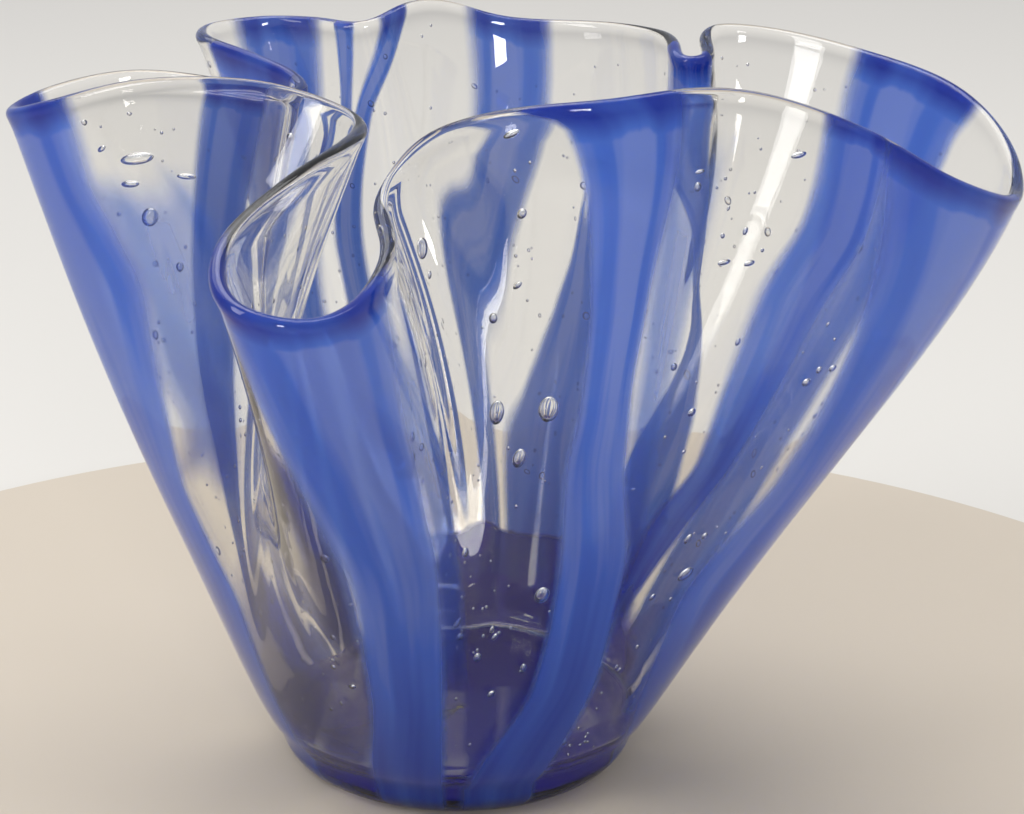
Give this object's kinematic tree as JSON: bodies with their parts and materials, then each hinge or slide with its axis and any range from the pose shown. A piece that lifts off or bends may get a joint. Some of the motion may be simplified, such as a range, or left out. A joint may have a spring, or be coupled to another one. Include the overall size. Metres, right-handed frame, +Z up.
{
  "type": "art glass bowl",
  "caption": "Hand-blown handkerchief bowl of clear glass cased over strips of cobalt glass, with a deeply ruffled rim on a thick round foot.",
  "frame": {"origin": "middle of the flat base, on the surface that the bowl stands on", "axes": "+Z up from the base to the rim; -Y towards the front, where the narrow front-left ruffle turns out; +X to the right, along the widest way across the rim"},
  "size_m": [0.2734, 0.2424, 0.2044],
  "materials": {
    "clear_glass": "clear blown glass with seed bubbles, fire-polished",
    "cobalt_glass": "milky cobalt-blue glass, cased in clear"
  },
  "bodies": {
    "root": {"inner_gather": "clear_glass", "blue_strip_01": "cobalt_glass", "blue_strip_02": "cobalt_glass", "blue_strip_03": "cobalt_glass", "blue_strip_04": "cobalt_glass", "blue_strip_05": "cobalt_glass", "blue_strip_06": "cobalt_glass", "blue_strip_07": "cobalt_glass", "blue_strip_08": "cobalt_glass", "blue_strip_09": "cobalt_glass", "blue_strip_10": "cobalt_glass", "blue_strip_11": "cobalt_glass", "blue_strip_12": "cobalt_glass", "blue_strip_13": "cobalt_glass", "blue_strip_14": "cobalt_glass", "outer_casing": "clear_glass"}
  },
  "joints": []
}
